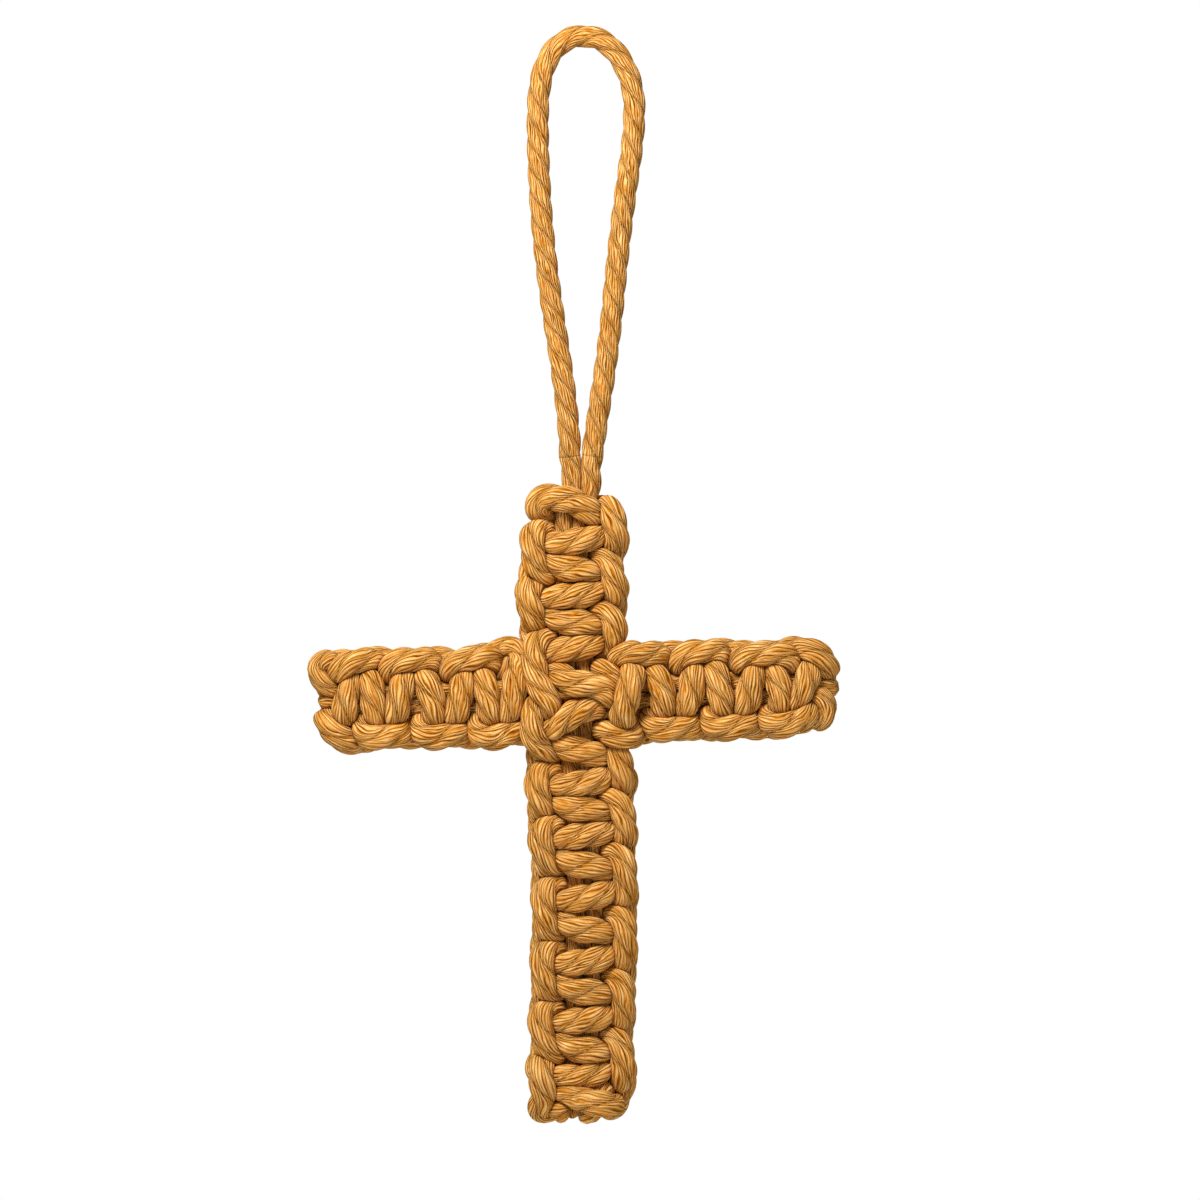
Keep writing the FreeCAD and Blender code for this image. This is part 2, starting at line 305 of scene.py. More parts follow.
# The right arm's first front bar. It starts and ends much as the rule has it, so those points are in
# the rule's measures, and the photo shows what lies between.
RIGHT_BAR_STARTS = [(OUTER, 0.05 * PRESSED, 0.0)]
RIGHT_BAR_SEEN = [(629, 670, 4.6), (626, 694, 5.6), (621, 712, 3.8)]
RIGHT_BAR_ENDS = [
    (-(INNER + 0.03 * PRESSED), -0.16 * PRESSED, -0.38),
    (-UNDER, -0.65 * PRESSED, -0.36),
]
RIGHT_BACK_BARS = {5: (1, [(798, 658, 0.4)]), 6: (1, [(812, 718, 0.2)])}
RIGHT_BACK_BUMPS = {
    0: [(630, 662, 4.0), (646, 655, 3.6)],
    4: [(744, 659, 3.0), (762, 655, 3.5), (782, 653, 3.1)],
    5: [(770, 719, 3.0), (785, 724, 3.3), (800, 722, 2.8)],
}
ROUND_RIGHT_END = [
    (797, 653, -0.8), (801, 648, 1.2), (807, 652, 2.4), (813, 662, 2.4),
    (820, 674, 1.4), (825, 687, -0.6), (817, 696, -2.6),
]
CROSSBAR_TAIL = [(799, 720, -3.0), (812, 715, -3.0)]

# The core cords, for the +u side (1) and the -u side (-1). In a row of half knots they have a point
# at every half bar, up to a little before the row's end.
HALF_BAR = 0.5
UPRIGHT_CORE_STARTS = -0.1
UPRIGHT_STOPS_BEFORE = 0.9
LEFT_STOPS_BEFORE = 0.4
RIGHT_STOPS_BEFORE = 0.7

# The upright's two lie apart above the first bar, by pixels from the loop's middle at pixels down.
# At the foot one ends a little above the other.
UPRIGHT_CORE_TOP = [(9.2, 467), (8.6, 488)]
UPRIGHT_CORE_ENDS = {1: 0.50, -1: 0.15}

# The crossbar's core cords go round its ends: the upper one at the left, the lower one at the right.
CROSSBAR_CORE_LEFT = {
    1: [(338, 660, 0.9), (327, 660, 1.9), (318, 668, 2.3), (322, 679, 2.4), (334, 688, 1.3)],
    -1: [(318, 700, 0.2), (332, 701, 0.2)],
}
CROSSBAR_CORE_RIGHT = {
    1: [(814, 684, 0.1), (839, 690, -0.6)],
    -1: [(812, 695, 1.2), (821, 698, 2.4), (826, 708, 2.4), (821, 719, 2.0), (809, 722, 0.6)],
}

# How the crossbar's core cords part for the upright's core: pixels from its middle and the share of
# the way out that they have gone there. The one in front passes a little higher.
PARTING = [(-36, 0.35), (-22, 0.8), (-8, 1.0), (8, 1.0), (22, 0.8), (36, 0.35)]
PARTING_DEPTH = 0.95
CORE_PASSES_AT = {1: CROSSING_PX - 7, -1: CROSSING_PX}


def interpolate(table, value):
    """Reads a table of (place, value) pairs, with straight lines past its ends."""
    places = [row[0] for row in table]
    values = [row[1] for row in table]
    if value < places[0]:
        slope = (values[1] - values[0]) / (places[1] - places[0])
        return values[0] + slope * (value - places[0])
    if value > places[-1]:
        slope = (values[-1] - values[-2]) / (places[-1] - places[-2])
        return values[-1] + slope * (value - places[-1])
    return float(np.interp(value, places, values))


def upright_place(point):
    """From (u, w, bar number) to millimetres in the row frame. The upright runs down."""
    u, w, bar = point
    down = interpolate(list(enumerate(UPRIGHT_BARS)), bar)
    middle = interpolate(UPRIGHT_MIDDLE, down)
    width = interpolate(UPRIGHT_WIDTH, down)
    return ((middle - ORIGIN_PX[0]) * PIXEL + width * u, -w, (ORIGIN_PX[1] - down) * PIXEL)


def crossbar_place(bars):
    """The same for one arm, which runs to the right, with +u up."""
    def place(point):
        u, w, bar = point
        along = interpolate(list(enumerate(bars)), bar)
        middle = interpolate(CROSSBAR_MIDDLE, along)
        return ((along - ORIGIN_PX[0]) * PIXEL, -w, (ORIGIN_PX[1] - middle) * PIXEL + ARM_TIGHTNESS * u)
    return place


def from_photo(points):
    """The places of points that the photo shows at pixel (x, y), at depth w towards the viewer."""
    return [((x - ORIGIN_PX[0]) * PIXEL, -w, (ORIGIN_PX[1] - y) * PIXEL) for x, y, w in points]


def at_bar(points, side, bar):
    """Points of the rule at the bar numbered `bar`, mirrored for a strand from the -u side."""
    return [(side * u, w, bar + along) for u, w, along in points]


def strand(count):
    """The front strand of `count` half knots: the points of each bar, and of each bump between two
    bars. Half knots alternate: the strand starts on the +u side, then on the -u side."""
    bars, bumps = [], []
    for number in range(count):
        side = 1 if number % 2 == 0 else -1
        bars.append(at_bar([COME_IN[side]] + OVER_CORE + [GO_UNDER[side]], side, number))
        bumps.append(at_bar(OUTSIDE[side], side, number))
    return bars, bumps[:-1]


def turned(parts):
    """Bars or bumps turned half a turn about the braid's middle line, as the back strand has them."""
    return [[(-u, -w, bar) for u, w, bar in points] for points in parts]


def placed(place, bars, bumps, first=0, seen_bars=None, seen_bumps=None):
    """A strand's points in millimetres from bar number `first`, with the bump before it. `seen_bars`
    and `seen_bumps` are those that the photo shows off the rule."""
    points = []
    for number, bar in enumerate(bars):
        if number >= first:
            replaced, seen = (seen_bars or {}).get(number, (0, []))
            points += from_photo(seen) + [place(point) for point in bar[replaced:]]
        if first - 1 <= number < len(bumps):
            seen = from_photo((seen_bumps or {}).get(number, []))
            points += seen or [place(point) for point in bumps[number]]
    return points


def upright_route():
    """The upright's working cord, from one tail through its middle to the other."""
    bars, bumps = strand(len(UPRIGHT_BARS))
    back_bars, back_bumps = turned(bars), turned(bumps)
    bars[BAR_BELOW_CROSSING][-1:] = at_bar([GO_UNDER[1]], -1, BAR_BELOW_CROSSING)
    without_first_bump = placed(upright_place, bars, bumps, 1, UPRIGHT_FRONT_BARS)[len(bumps[0]):]
    first_half = from_photo(TO_SECOND_BAR) + without_first_bump + from_photo(LEFT_TAIL)
    second_half = from_photo(TO_FIRST_BUMP)
    second_half += placed(upright_place, back_bars, back_bumps, 1, UPRIGHT_BACK_BARS, UPRIGHT_BACK_BUMPS)
    second_half += from_photo(RIGHT_TAIL)
    return first_half[::-1] + from_photo(FIRST_BAR) + second_half


def crossbar_route():
    """The crossbar's working cord. It starts with its middle behind the left end, ties the left
    arm, goes on behind the upright and ties the right arm. At both ends of the right arm the back
    strand leaves out what the points from the photo replace."""
    left = crossbar_place(LEFT_BARS)
    right = crossbar_place(RIGHT_BARS)
    bars, bumps = strand(len(LEFT_BARS))
    back_bars, back_bumps = turned(bars), turned(bumps)

    first_half = from_photo(TO_LEFT_FRONT) + placed(left, bars, bumps) + from_photo(THROUGH_UPRIGHT)
    first_half += placed(right, back_bars, back_bumps, 0, RIGHT_BACK_BARS, RIGHT_BACK_BUMPS)[1:-2]
    first_half += from_photo(ROUND_RIGHT_END)

    second_half = from_photo(TO_LEFT_BACK) + placed(left, back_bars, back_bumps, 0, LEFT_BACK_BARS)
    second_half += from_photo(BEHIND_UPRIGHT)
    second_half += [right(point) for point in RIGHT_BAR_STARTS] + from_photo(RIGHT_BAR_SEEN)
    second_half += [right(point) for point in RIGHT_BAR_ENDS] + placed(right, bars, bumps, 1)
    second_half += from_photo(CROSSBAR_TAIL)
    return first_half[::-1] + from_photo(BEHIND_LEFT_END) + second_half


def core_along(place, side, start, end):
    """Points of a core cord at every half bar from `start` to before `end`."""
    return [place((side * CORE_SPACING, 0, bar)) for bar in np.arange(start, end, HALF_BAR)]


def upright_core(side):
    """One core cord of the upright, from the loop's end to the foot. The two lie apart as far as the
    first bar and closer under it."""
    count = len(UPRIGHT_BARS)
    points = [(side * LEG / MM, 0, LOOP_FOOT / MM)]
    points += from_photo([(ORIGIN_PX[0] + side * across, down, 0) for across, down in UPRIGHT_CORE_TOP])
    points += core_along(upright_place, side, UPRIGHT_CORE_STARTS, count - UPRIGHT_STOPS_BEFORE)
    points.append(upright_place((side * CORE_SPACING, 0, count - UPRIGHT_CORE_ENDS[side])))
    return points


def crossbar_core(side):
    """One core cord of the crossbar. It lies above or below its twin in the arms, and in front of
    or behind the upright's core at the crossing. The upper one's left end is turned up and back
    round the end of the arm, and so is the lower one's right end, downwards."""
    middle = interpolate(UPRIGHT_MIDDLE, CROSSING_PX)
    points = from_photo(CROSSBAR_CORE_LEFT[side])
    points += core_along(crossbar_place(LEFT_BARS), side, 0.0, len(LEFT_BARS) - LEFT_STOPS_BEFORE)
    for across, share in PARTING:
        depth = side * share * PARTING_DEPTH * PRESSED
        x, y, z = from_photo([(middle + across, CORE_PASSES_AT[side], depth)])[0]
        points.append((x, y, z + side * (1 - share) * CORE_SPACING))
    points += core_along(crossbar_place(RIGHT_BARS), side, 0.0, len(RIGHT_BARS) - RIGHT_STOPS_BEFORE)
    return points + from_photo(CROSSBAR_CORE_RIGHT[side])


def blend(a, b, low, high, t):
    """Goes straight from `a` at `low` to `b` at `high`."""
    return (high - t) / (high - low) * a + (t - low) / (high - low) * b


def spline_piece(four):
    """A smooth line from the second to the third of four points."""
    gaps = [max(np.linalg.norm(b - a), TINY) ** 0.5 for a, b in zip(four, four[1:])]
    knots = np.cumsum([0.0] + gaps)
    t = np.linspace(knots[1], knots[2], SPLINE_STEPS, endpoint=False)[:, None]
    threes = [blend(four[k], four[k + 1], knots[k], knots[k + 1], t) for k in range(3)]
    twos = [blend(threes[k], threes[k + 1], knots[k], knots[k + 2], t) for k in range(2)]
    return blend(twos[0], twos[1], knots[1], knots[2], t)


def smooth_line(points, step):
    """A smooth line through the points, as even steps of about `step`."""
    points = np.array(points, float)
    ends = (2 * points[0] - points[1], 2 * points[-1] - points[-2])
    padded = np.vstack([ends[0], points, ends[1]])
    pieces = [spline_piece(four) for four in zip(padded, padded[1:], padded[2:], padded[3:])]
    return even_steps(np.vstack(pieces + [points[-1:]]), step)


def even_steps(line, step):
    """The same line with points a fixed distance apart."""
    lengths = np.concatenate([[0.0], np.cumsum(np.linalg.norm(np.diff(line, axis=0), axis=1))])
    places = np.linspace(0.0, lengths[-1], max(2, int(round(lengths[-1] / step)) + 1))
    return np.column_stack([np.interp(places, lengths, line[:, axis]) for axis in range(3)])


def near_pairs(place, cord, limit):
    """Pairs of points nearer than `limit`, without the next neighbours on the same cord."""
    order = np.arange(len(place))
    firsts, seconds = [], []
    for low in range(0, len(place), BLOCK):
        block = slice(low, low + BLOCK)
        near = np.linalg.norm(place[block][:, None, :] - place[None, :, :], axis=2) < limit
        near &= order[None, :] > order[block][:, None]
        same_cord = cord[block][:, None] == cord[None, :]
        near &= ~(same_cord & (order[None, :] - order[block][:, None] < NEIGHBOURS))
        first, second = np.nonzero(near)
        firsts.append(first + low)
        seconds.append(second)
    return np.concatenate(firsts), np.concatenate(seconds)


def pushes(place, pairs, spacing, loose):
    """How far each point has to move, so that its pairs come to lie as far apart as their spacing."""
    first, second = pairs
    between = place[second] - place[first]
    distance = np.maximum(np.linalg.norm(between, axis=1), TINY)
    short = np.maximum(spacing[first] + spacing[second] - distance, 0.0)
    shift = between * (short / distance)[:, None]
    total = np.maximum(loose[first] + loose[second], TINY)
    touching = short > 0
    push = np.zeros_like(place)
    count = np.full(len(place), COUNT_START)
    for points, direction in ((first, -1), (second, 1)):
        np.add.at(push, points[touching], (direction * shift * loose[points] / total)[touching])
        np.add.at(count, points[touching], 1.0)
    return push / np.maximum(count, 1.0)[:, None] ** PUSH_POWER


class Weave:
    """All cords' lines together, pulled tight while they keep apart."""

    def __init__(self):
        self.lines = {}
        self.spacings = []
        self.held = []
        self.loose = []

    def add(self, name, points, spacing, held=None):
        """`spacing` is the cord's share of the distance to what it presses on. `held` is how strongly
        it is drawn back to where it started along X, Y and Z. A cord without it stays put."""
        self.lines[name] = smooth_line(points, LINE_STEP)
        self.spacings.append(spacing)
        self.held.append(held or (0.0, 0.0, 0.0))
        self.loose.append(1.0 if held else 0.0)

    def settle(self):
        """Pulls each loose cord straight, keeps cords apart and holds them near where they started."""
        counts = [len(line) for line in self.lines.values()]
        cord = np.repeat(np.arange(len(counts)), counts)
        spacing = np.repeat(self.spacings, counts)
        held = np.repeat(self.held, counts, axis=0)
        loose = np.repeat(self.loose, counts)[:, None]
        start = np.vstack(list(self.lines.values()))
        inside = np.zeros(len(start), bool)
        inside[1:-1] = (cord[1:-1] == cord[:-2]) & (cord[1:-1] == cord[2:])
        limit = 2 * max(self.spacings) + LOOK_BEYOND
        place = start
        for turn in range(SETTLING):
            if turn % LOOK_EVERY == 0:
                pairs = near_pairs(place, cord, limit)
            straighter = (place[:-2] + place[2:]) / 2 - place[1:-1]
            moved = place.copy()
            moved[inside] += STRAIGHTENING * straighter[inside[1:-1]] * loose[inside]
            moved += held * (start - place)
            moved[~inside] = start[~inside]
            for _ in range(PUSHES):
                moved += pushes(moved, pairs, spacing, loose)
            place = moved
        self.lines = dict(zip(self.lines, np.split(place, np.cumsum(counts)[:-1])))

    def others(self, *names):
        """The lines of all cords but those called `names`."""
        return [line for name, line in self.lines.items() if name not in names]


def loop_line():
    """Points read from the free cord's own spline, from its left end to its right end."""
    data = bpy.data.curves.new("loop_route", "CURVE")
    data.dimensions = "3D"
    data.resolution_u = LOOP_RESOLUTION
    spline = data.splines.new("NURBS")
    spline.points.add(len(LOOP_ROUTE) - 1)
    for point, place in zip(spline.points, LOOP_ROUTE):
        point.co = (*place, 1.0)
    spline.order_u = 3
    spline.use_endpoint_u = True
    helper = bpy.data.objects.new("loop_route", data)
    mesh = bpy.data.meshes.new_from_object(helper)
    line = np.array([vertex.co[:] for vertex in mesh.vertices]) / MM
    bpy.data.objects.remove(helper)
    bpy.data.meshes.remove(mesh)
    bpy.data.curves.remove(data)
    return line


def across_line(line):
    """Two cross directions at each point, which turn as little as they can along the line. The first
    starts out towards the viewer."""
    tangents = np.gradient(line, axis=0)
    tangents /= np.linalg.norm(tangents, axis=1)[:, None]
    across = np.zeros_like(line)
    guess = np.array([0.0, -1.0, 0.0])
    for index, tangent in enumerate(tangents):
        guess = guess - tangent * guess.dot(tangent)
        guess /= np.linalg.norm(guess)
        across[index] = guess
    return across, np.cross(tangents, across)


def ply_outline(angles, depth):
    """The rope's outline round its middle: three soft plies with grooves between them."""
    within = (angles * PLIES / FULL_TURN) % 1.0 - 0.5
    bend = np.cos(within * FULL_TURN / PLIES)
    swing = np.sin(within * FULL_TURN / PLIES)
    return depth * bend + np.sqrt(np.maximum((1.0 - depth) ** 2 - (depth * swing) ** 2, 0.0))


def softened(radii):
    """The radii with the edges that the cuts leave rounded off, round the rope and along it."""
    smooth = radii.copy()
    for _ in range(SOFTENINGS):
        around = (np.roll(smooth, 1, axis=1) + np.roll(smooth, -1, axis=1)) / 2
        smooth = (1 - AROUND_SHARE) * smooth + AROUND_SHARE * around
        smooth[1:-1] = (smooth[1:-1] + (smooth[:-2] + smooth[2:]) / 2) / 2
    return np.minimum(smooth, radii + EDGE_STANDS_OUT)


def pressed_radii(line, places, directions, outline, others):
    """The rope's radii, cut back to the planes midway to what it presses on: the lines in `others`
    and its own line, apart from the stretch next to each point."""
    reach = RADII_OFF * outline.max()
    radii = outline.copy()
    own_line = even_steps(line, OWN_STEP)
    own_places = np.linspace(0.0, places[-1], len(own_line))
    for index, here in enumerate(line):
        for points in [own_line] + others:
            offset = points - here
            distance = np.linalg.norm(offset, axis=1)
            near = (distance < reach) & (distance > NEAREST)
            if points is own_line:
                near &= np.abs(own_places - places[index]) > OWN_SKIP
            if not near.any():
                continue
            facing = (offset[near] / distance[near][:, None]) @ directions[index].T
            limit = np.maximum(distance[near] / 2 - CONTACT_GAP, NEAREST)[:, None]
            cut = np.where(facing > LEAST_FACING, limit / np.maximum(facing, LEAST_FACING), UNCUT)
            radii[index] = np.minimum(radii[index], cut.min(axis=0))
    return np.minimum(softened(radii), outline)


def tube_faces(rings, sides):
    """Faces of a tube of rings, closed at both ends by fans round its last two points."""
    ring = np.arange(rings - 1)[:, None] * sides
    side = np.arange(sides)[None, :]
    after = (side + 1) % sides
    tube = np.stack([ring + side, ring + after, ring + sides + after, ring + sides + side], axis=2)
    first_cap, last_cap = rings * sides, rings * sides + 1
    last_ring = (rings - 1) * sides
    caps = []
    for here in range(sides):
        then = (here + 1) % sides
        caps += [(then, here, first_cap), (last_ring + here, last_ring + then, last_cap)]
    return tube.reshape(-1, 4).tolist(), caps


def tube_map(across, places, sides):
    """A closed tube's map, corner by corner: `across` round each ring, and the place along it."""
    along = np.tile(places[:, None], (1, sides + 1))
    grid = np.stack([across, along], axis=2)
    tube = np.stack([grid[:-1, :-1], grid[:-1, 1:], grid[1:, 1:], grid[1:, :-1]], axis=2)
    first_cap = [grid[0, [here + 1, here, here]] for here in range(sides)]
    last_cap = [grid[-1, [here, here + 1, here]] for here in range(sides)]
    caps = np.stack([first_cap, last_cap], axis=1)
    return np.vstack([tube.reshape(-1, 2), caps.reshape(-1, 2)])


class Rope:
    """A three-ply rope along a line. Pieces of it keep one lay, so cords that run on have no seam."""

    def __init__(self, line, radius, sides, step, depth, others):
        self.line = smooth_line(line, step)
        self.sides = sides
        run = np.linalg.norm(np.diff(self.line, axis=0), axis=1).mean()
        self.places = np.arange(len(self.line)) * run
        angles = np.linspace(0.0, FULL_TURN, sides, endpoint=False)
        self.ply_angles = angles[None, :] + FULL_TURN * self.places[:, None] / LAY
        across, beside = across_line(self.line)
        directions = np.cos(angles)[None, :, None] * across[:, None, :]
        directions = directions + np.sin(angles)[None, :, None] * beside[:, None, :]
        outline = radius * ply_outline(self.ply_angles, depth)
        radii = pressed_radii(self.line, self.places, directions, outline, others)
        from_end = np.minimum(self.places, self.places[-1] - self.places) + END_CAP
        dome = np.sqrt(1.0 - (1.0 - np.minimum(from_end / SOFT_END, 1.0)) ** 2)
        self.points = self.line[:, None, :] + (radii * dome[:, None])[:, :, None] * directions

    def piece(self, name, start=None, end=None):
        """One closed mesh of the rope from ring `start` to ring `end`, with a map for its yarns and
        one for its plies. The rope's own ends are soft and round, and the others are flat."""
        part = slice(start, None if end is None else end + 1)
        line, places, ply_angles = self.line[part], self.places[part], self.ply_angles[part]
        vertices = np.vstack([self.points[part].reshape(-1, 3), line[:1], line[-1:]]) * MM
        tube, caps = tube_faces(len(line), self.sides)
        mesh = bpy.data.meshes.new(name)
        mesh.from_pydata(vertices.tolist(), [], tube + caps)
        yarns = np.tile(YARNS * np.arange(self.sides + 1) / self.sides, (len(line), 1))
        plies = PLIES * np.column_stack([ply_angles, ply_angles[:, :1] + FULL_TURN]) / FULL_TURN
        for label, across in (("yarn", yarns), ("ply", plies)):
            corners = tube_map(across, places, self.sides)
            mesh.uv_layers.new(name=label).data.foreach_set("uv", corners.reshape(-1))
        mesh.polygons.foreach_set("use_smooth", [True] * len(tube) + [False] * len(caps))
        mesh.update()
        piece = bpy.data.objects.new(name, mesh)
        bpy.context.scene.collection.objects.link(piece)
        return piece


class Nodes:
    """Short ways to add and join shader nodes."""

    def __init__(self, tree):
        self.tree = tree

    def add(self, kind, **settings):
        node = self.tree.nodes.new(kind)
        for key, value in settings.items():
            setattr(node, key, value)
        return node

    def feed(self, socket, value):
        if isinstance(value, (int, float, tuple)):
            socket.default_value = value
        else:
            self.tree.links.new(value, socket)

    def math(self, operation, *values, clamp=False):
        node = self.add("ShaderNodeMath", operation=operation, use_clamp=clamp)
        for socket, value in zip(node.inputs, values):
            self.feed(socket, value)
        return node.outputs[0]

    def plus(self, a, b):
        return self.math("ADD", a, b)

    def minus(self, a, b, clamp=False):
        return self.math("SUBTRACT", a, b, clamp=clamp)

    def times(self, a, b, clamp=False):
        return self.math("MULTIPLY", a, b, clamp=clamp)

    def split_map(self, name):
        """The two coordinates of a mesh's map."""
        parts = self.add("ShaderNodeSeparateXYZ")
        self.feed(parts.inputs[0], self.add("ShaderNodeUVMap", uv_map=name).outputs[0])
        return parts.outputs[0], parts.outputs[1]

    def drawn_out_noise(self, across, along, noise):
        """Noise with its own scales across and along a cord."""
        across_scale, along_scale, start, detail = noise
        place = self.add("ShaderNodeCombineXYZ")
        parts = (self.times(across, across_scale), self.times(along, along_scale), start)
        for socket, value in zip(place.inputs, parts):
            self.feed(socket, value)
        node = self.add("ShaderNodeTexNoise")
        self.feed(node.inputs["Vector"], place.outputs[0])
        node.inputs["Scale"].default_value = 1.0
        node.inputs["Detail"].default_value = detail
        return node.outputs[0]

    def ramp(self, value, stops):
        node = self.add("ShaderNodeValToRGB")
        self.feed(node.inputs[0], value)
        elements = node.color_ramp.elements
        while len(elements) < len(stops):
            elements.new(0.5)
        for element, (place, colour) in zip(elements, stops):
            element.position = place
            element.color = (*colour, 1.0)
        return node.outputs[0]


def yarn_across(nodes, count, along, inside):
    """The yarns' own coordinate: one for each yarn round the cord. Yarns crowd at the sides of their
    ply, where `inside` is farthest from 0, and they wander along it."""
    away = nodes.math("ABSOLUTE", inside)
    swung = nodes.times(nodes.math("POWER", away, CROWDING_POWER), nodes.math("SIGN", inside))
    crowded = nodes.plus(count, nodes.times(swung, CROWDING * YARNS / PLIES))
    wander = nodes.drawn_out_noise(count, along, WANDER_NOISE)
    return nodes.plus(crowded, nodes.times(nodes.minus(wander, 0.5), WANDER))


def yarn_dips(nodes, yarn, along):
    """The dips between yarns, deep in some patches and shallow in others. They lower the bump and set the
    shade that is painted there.
    """
    off_middle = nodes.math("ABSOLUTE", nodes.minus(nodes.math("FRACT", yarn), 0.5))
    between = nodes.math("POWER", nodes.times(off_middle, 2.0), DIP_POWER)
    patches = nodes.drawn_out_noise(yarn, along, PATCH_NOISE)
    return nodes.times(between, nodes.plus(nodes.times(patches, DIP_VARIES), DIP_LEAST))


def painted_groove_shade(nodes, inside):
    """How much shade is painted into the groove between two plies."""
    edge = nodes.minus(nodes.math("ABSOLUTE", inside), GROOVE_START, clamp=True)
    return nodes.times(edge, GROOVE_GAIN, clamp=True)


def cord_bump(nodes, streaks, fibres, dips):
    """The yarns and fibres as the surface's normal."""
    height = nodes.minus(nodes.times(streaks, STREAK_HEIGHT), dips)
    height = nodes.plus(height, nodes.times(fibres, FIBRE_HEIGHT))
    bump = nodes.add("ShaderNodeBump")
    bump.inputs["Strength"].default_value = 1.0
    bump.inputs["Distance"].default_value = BUMP_HEIGHT
    nodes.feed(bump.inputs["Height"], height)
    return bump.outputs[0]


def cord_colour(nodes, streaks, fibres, dips, grooves):
    """Colour that varies from yarn to yarn and fibre to fibre, with shade painted into the dips and
    grooves.
    """
    shade = nodes.plus(MIDDLE_SHADE, nodes.times(nodes.minus(streaks, 0.5), STREAK_SHADE))
    shade = nodes.plus(shade, nodes.times(nodes.minus(fibres, 0.5), FIBRE_SHADE))
    # Painted shade: the dips between yarns are made darker.
    shade = nodes.minus(shade, nodes.times(dips, PAINTED_DIP_SHADE))
    # Painted shade: the grooves between plies are made darker.
    shade = nodes.minus(shade, nodes.times(grooves, PAINTED_GROOVE_SHADE), clamp=True)
    return nodes.ramp(shade, CORD_SHADES)


def cord_material():
    """Dyed cotton: round yarns, loose fibres along them, colour that varies from yarn to yarn, and shade
    painted between yarns and plies.
    """
    material = bpy.data.materials.new("dyed_cotton_cord")
    material.use_nodes = True
    nodes = Nodes(material.node_tree)
    shader = material.node_tree.nodes["Principled BSDF"]
    count, along = nodes.split_map("yarn")
    inside = nodes.minus(nodes.math("FRACT", nodes.split_map("ply")[0]), 0.5)
    yarn = yarn_across(nodes, count, along, inside)
    streaks = nodes.drawn_out_noise(yarn, along, STREAK_NOISE)
    fibres = nodes.drawn_out_noise(yarn, along, FIBRE_NOISE)
    dips = yarn_dips(nodes, yarn, along)
    grooves = painted_groove_shade(nodes, inside)
    nodes.feed(shader.inputs["Normal"], cord_bump(nodes, streaks, fibres, dips))
    nodes.feed(shader.inputs["Base Color"], cord_colour(nodes, streaks, fibres, dips, grooves))
    for name, value in COTTON.items():
        shader.inputs[name].default_value = value
    return material


def build_weave():
    """All cords but the loop, settled against each other. The core cords press a little less."""
    weave = Weave()
    half = PRESSED / 2
    weave.add("upright_knotting_cord", upright_route(), half, UPRIGHT_HELD)
    weave.add("crossbar_knotting_cord", crossbar_route(), half, CROSSBAR_HELD)
    weave.add("upright_core_left", upright_core(-1), half - CORE_EASE)
    weave.add("upright_core_right", upright_core(1), half - CORE_EASE)
    weave.add("crossbar_core_upper", crossbar_core(1), half - CORE_EASE)
    weave.add("crossbar_core_lower", crossbar_core(-1), half - CORE_EASE)
    weave.settle()
    return weave


def build_cords(weave, material):
    """The two working cords and the crossbar's core cords, each in place of its node."""
    for name, radius, sides in (
        ("upright_knotting_cord", WORKING_RADIUS, KNOTTING_SIDES),
        ("crossbar_knotting_cord", WORKING_RADIUS, KNOTTING_SIDES),
        ("crossbar_core_upper", CORE_RADIUS, CORE_SIDES),
        ("crossbar_core_lower", CORE_RADIUS, CORE_SIDES),
    ):
        rope = Rope(weave.lines[name], radius, sides, ROPE_STEP, PLY_DEPTH, weave.others(name))
        finish_piece(rope.piece(name + "_rope"), material, name)


def build_loop(weave, material):
    """The hanging loop, a free cord that goes on into the braid at both ends as its core."""
    left, right = weave.lines["upright_core_left"], weave.lines["upright_core_right"]
    loop = loop_line()
    whole = np.vstack([left[:0:-1], loop, right[1:]])
    others = weave.others("upright_core_left", "upright_core_right")
    rope = Rope(whole, FREE_RADIUS * LOOSE, LOOP_SIDES, LOOP_STEP, LOOP_PLY_DEPTH, others)
    feet = [int(np.argmin(np.linalg.norm(rope.line - end, axis=1))) for end in (loop[0], loop[-1])]
    finish_piece(rope.piece("upright_core_left_rope", None, feet[0]), material, "upright_core_left")
    finish_piece(rope.piece("upright_core_right_rope", feet[1], None), material, "upright_core_right")
    piece = rope.piece("hanging_loop_rope", feet[0], feet[1])
    finish_piece(piece, material, "hanging_loop")
    (even_steps(loop, PATH_STEP) * MM).tolist()


def finish_piece(piece, material, node):
    """Gives a piece its material, hides the part of the node that it stands for, and attaches it to the
    root.
    """
    piece.data.materials.append(material)
    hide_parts(node)
    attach(piece, "root")


def floor_material():
    """Matt and pale."""
    material = bpy.data.materials.new("pale_floor")
    material.use_nodes = True
    shader = material.node_tree.nodes["Principled BSDF"]
    shader.inputs["Base Color"].default_value = FLOOR_COLOUR
    shader.inputs["Roughness"].default_value = FLOOR_ROUGHNESS
    return material


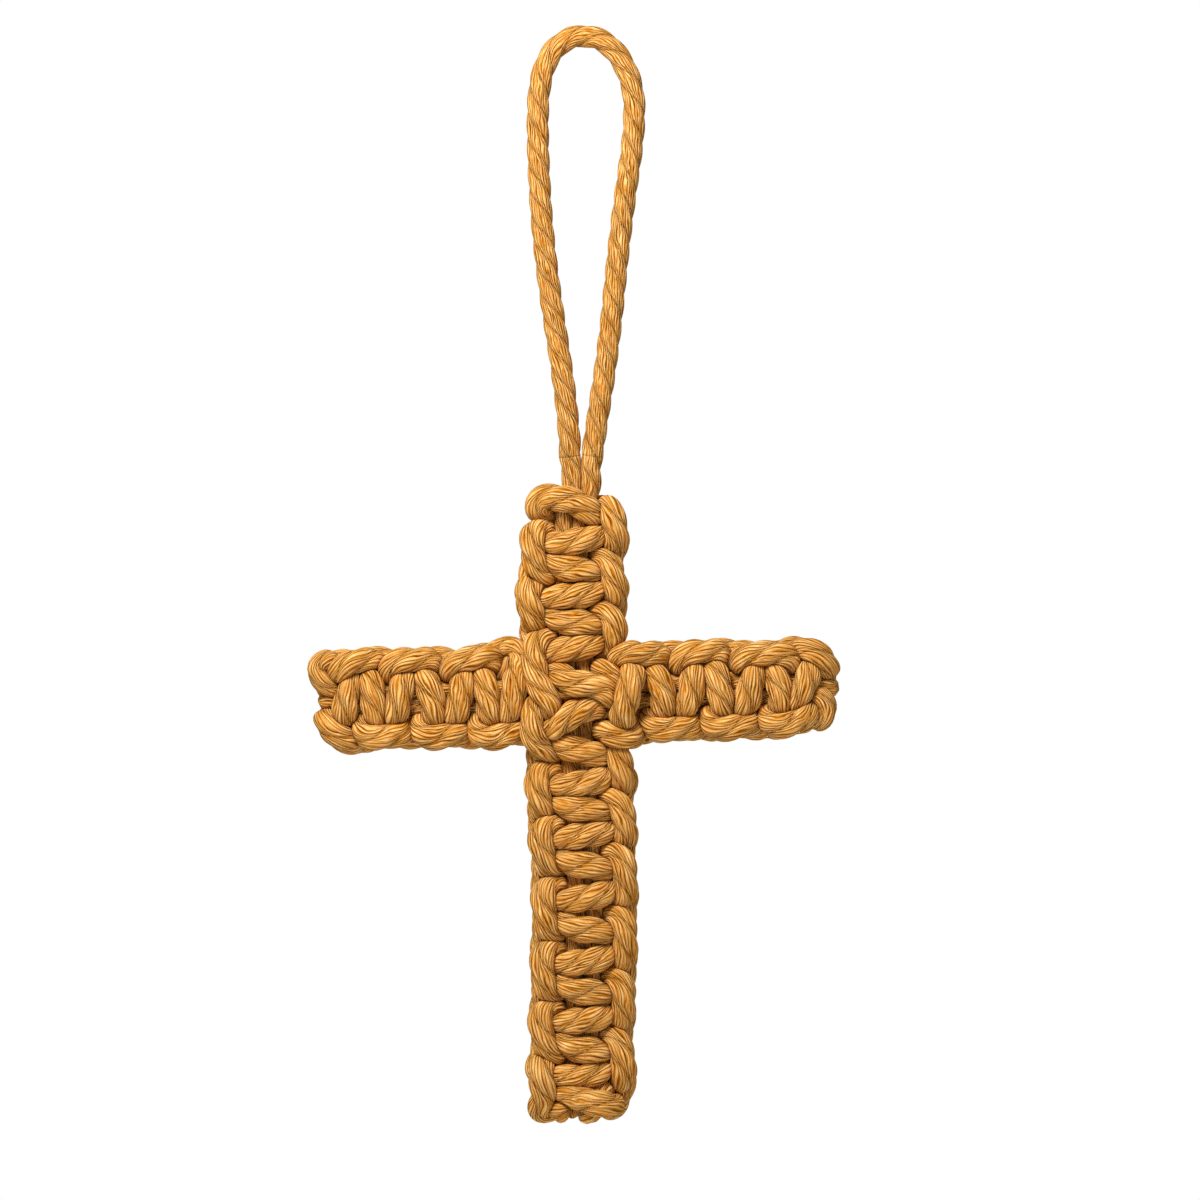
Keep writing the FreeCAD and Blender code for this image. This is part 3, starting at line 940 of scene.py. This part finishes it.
def build_floor():
    """A pale floor under the hanging cross."""
    bpy.ops.mesh.primitive_plane_add(size=FLOOR_SIDE, location=(0, 0, FLOOR))
    floor = bpy.context.object
    floor.name = "floor"
    floor.data.materials.append(floor_material())


def build_world():
    """A soft light from all around, which the camera sees as a white background."""
    world = bpy.data.worlds.new("studio")
    bpy.context.scene.world = world
    world.use_nodes = True
    nodes = Nodes(world.node_tree)
    background = world.node_tree.nodes["Background"]
    path = nodes.add("ShaderNodeLightPath")
    strength = nodes.add("ShaderNodeMapRange")
    nodes.feed(strength.inputs["Value"], path.outputs["Is Camera Ray"])
    strength.inputs["To Min"].default_value = AMBIENT
    strength.inputs["To Max"].default_value = 1.0
    nodes.feed(background.inputs["Strength"], strength.outputs[0])
    background.inputs["Color"].default_value = WHITE


def build_lights():
    """A key light from the upper left and a wide, weak fill light from the right."""
    for name, place, size, power in LIGHTS:
        data = bpy.data.lights.new(name, "AREA")
        data.shape = "DISK"
        data.size = size
        data.energy = power
        light = bpy.data.objects.new(name, data)
        bpy.context.scene.collection.objects.link(light)
        light.location = place
        direction = Vector(LIGHTS_AIM) - Vector(place)
        light.rotation_euler = direction.to_track_quat("-Z", "Y").to_euler()


def build_camera():
    """Straight on, framed as in the photo."""
    centre_px = PHOTO_SIDE // 2
    data = bpy.data.cameras.new("camera")
    data.sensor_width = SENSOR
    data.lens = data.sensor_width * CAMERA_DISTANCE / (PHOTO_SIDE * PIXEL * MM)
    data.clip_start = CLIP_START
    data.clip_end = CLIP_END
    camera = bpy.data.objects.new("camera", data)
    bpy.context.scene.collection.objects.link(camera)
    camera.location = (
        (centre_px - ORIGIN_PX[0]) * PIXEL * MM, -CAMERA_DISTANCE, (ORIGIN_PX[1] - centre_px) * PIXEL * MM,
    )
    camera.rotation_euler = (math.pi / 2, 0, 0)
    bpy.context.scene.camera = camera


bpy.context.scene.view_settings.view_transform = "Standard"
build_camera()
cotton = cord_material()
weave = build_weave()
build_cords(weave, cotton)
build_loop(weave, cotton)
build_floor()
build_world()
build_lights()
